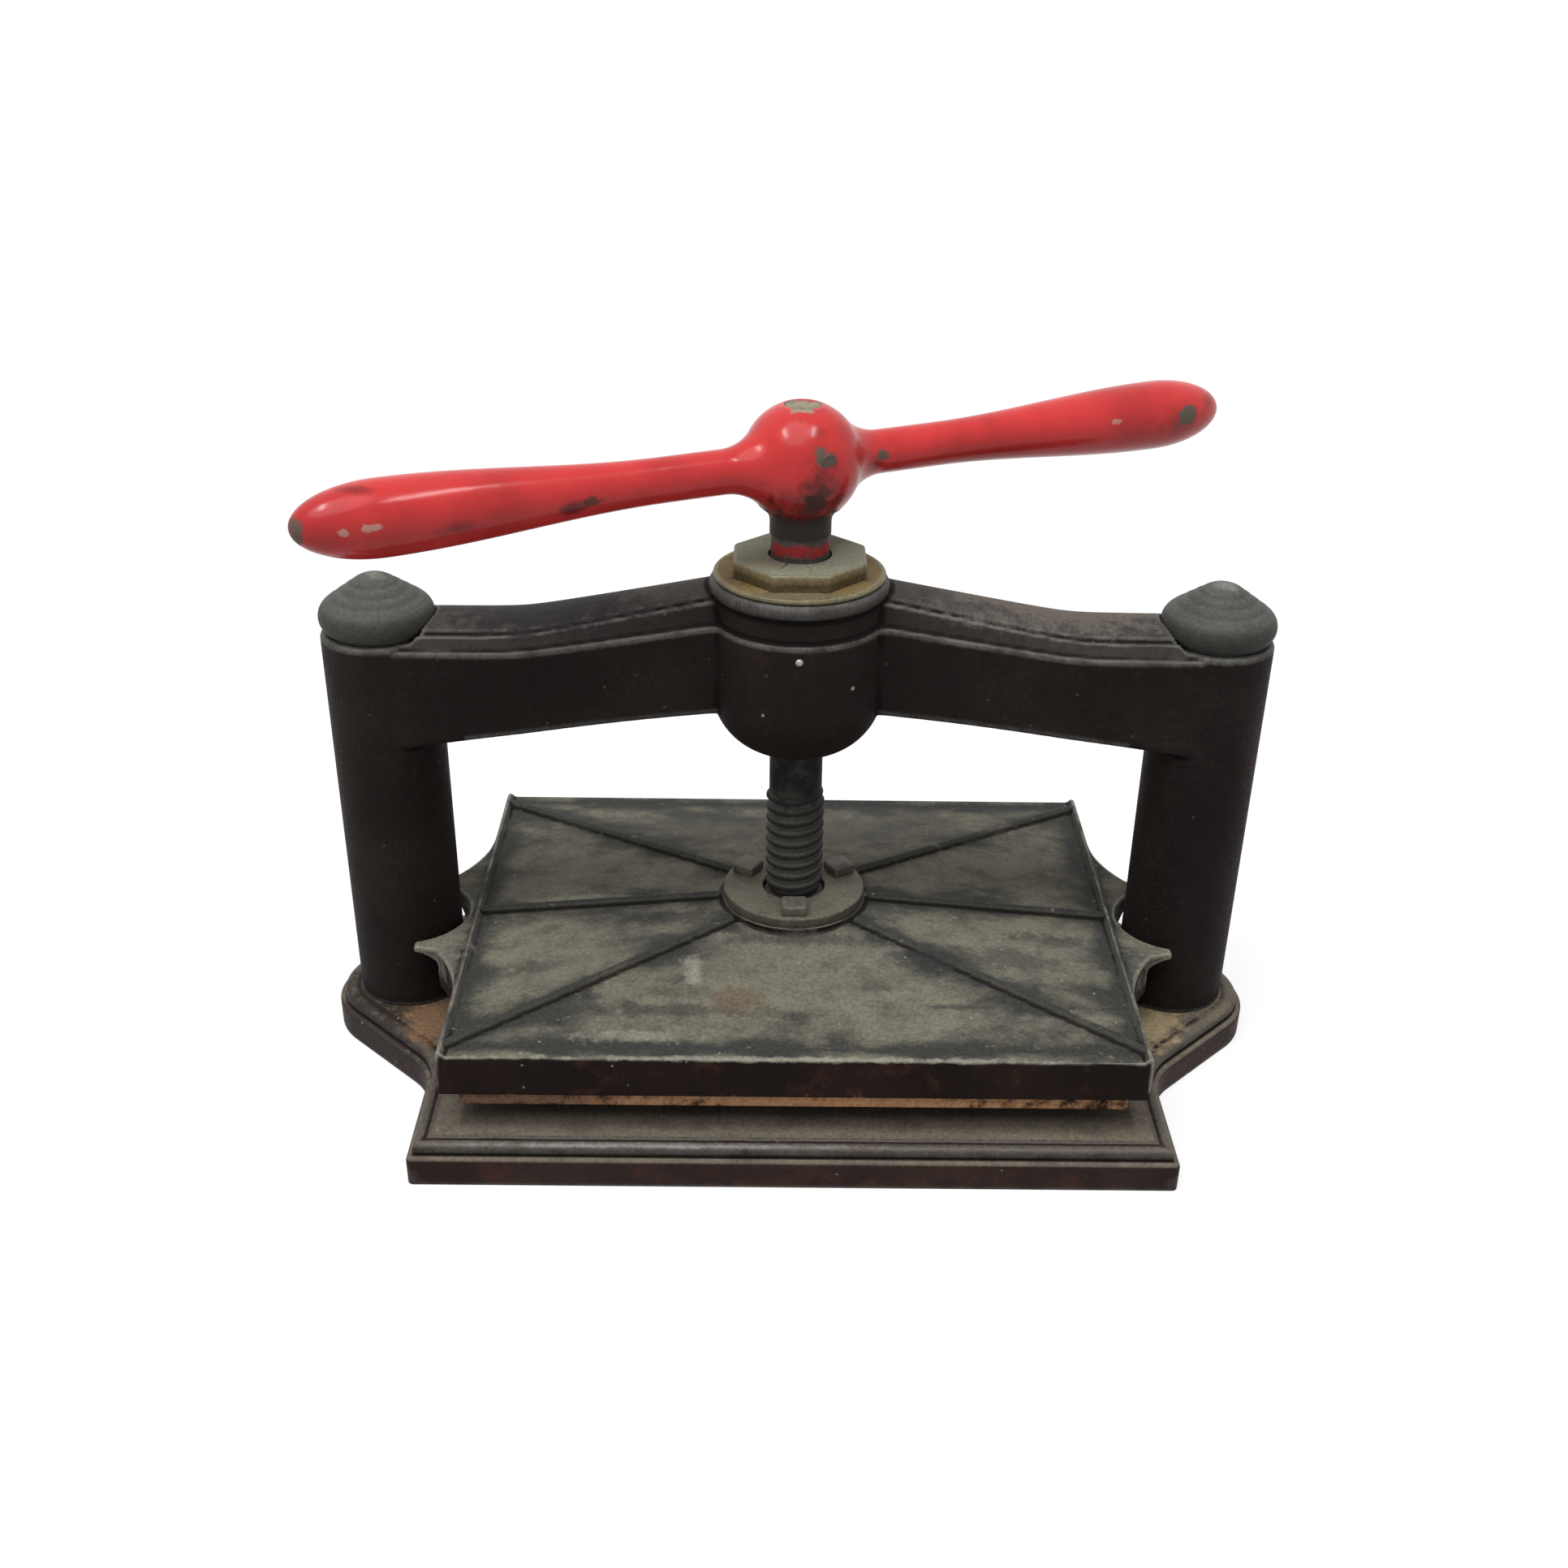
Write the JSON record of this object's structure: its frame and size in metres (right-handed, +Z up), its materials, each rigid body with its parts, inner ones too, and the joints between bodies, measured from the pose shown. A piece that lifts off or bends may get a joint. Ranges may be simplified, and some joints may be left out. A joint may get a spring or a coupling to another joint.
{
  "type": "book press",
  "caption": "Cast-iron screw press: a ribbed platen slides between two columns under an arch and is driven down onto a moulded bed by a screw with a two-ended handle.",
  "frame": {"origin": "on the screw's axis, in the plane of the bed's underside", "axes": "+X along the arch from column to column, +Y away from the user, +Z up along the screw"},
  "size_m": [0.551, 0.335, 0.3778],
  "materials": {
    "black_iron": "old black paint over cast iron, dusty and rusty",
    "worn_iron": "worn bare cast iron with grey-olive patina",
    "steel": "dull, oxidised",
    "screw_steel": "dark, oiled",
    "bronze": "green-grey patina",
    "red_enamel": "glossy, chipped"
  },
  "bodies": {
    "base": {"bed_casting": "black_iron", "arch_casting": "black_iron", "left_tie_rod": "steel", "right_tie_rod": "steel", "left_finial_nut": "black_iron", "right_finial_nut": "black_iron", "left_tie_washer": "steel", "right_tie_washer": "steel", "left_tie_nut": "steel", "right_tie_nut": "steel", "bronze_nut": "bronze", "nut_locking_pin": "steel"},
    "platen": {"platen_casting": "worn_iron", "thrust_pad": "steel", "keeper_ring": "worn_iron", "keeper_bolt_front": "steel", "keeper_bolt_right": "steel", "keeper_bolt_left": "steel"},
    "screw": {"lead_screw": "screw_steel", "handle": "red_enamel", "handle_pin": "steel"}
  },
  "joints": [
    {"name": "platen_lift", "type": "slide", "parent": "base", "child": "platen", "axis": [0, 0, 1], "range_m": [-0.0137, 0.0741]},
    {"name": "screw_turn", "type": "hinge", "parent": "platen", "child": "screw", "pos_m": [0, 0, 0.1], "axis": [0, 0, 1], "range_deg": [-700, 3800]}
  ],
  "couplings": [
    {"joint": "platen_lift", "follows": "screw_turn", "m_per_rad": 0.0011141}
  ]
}
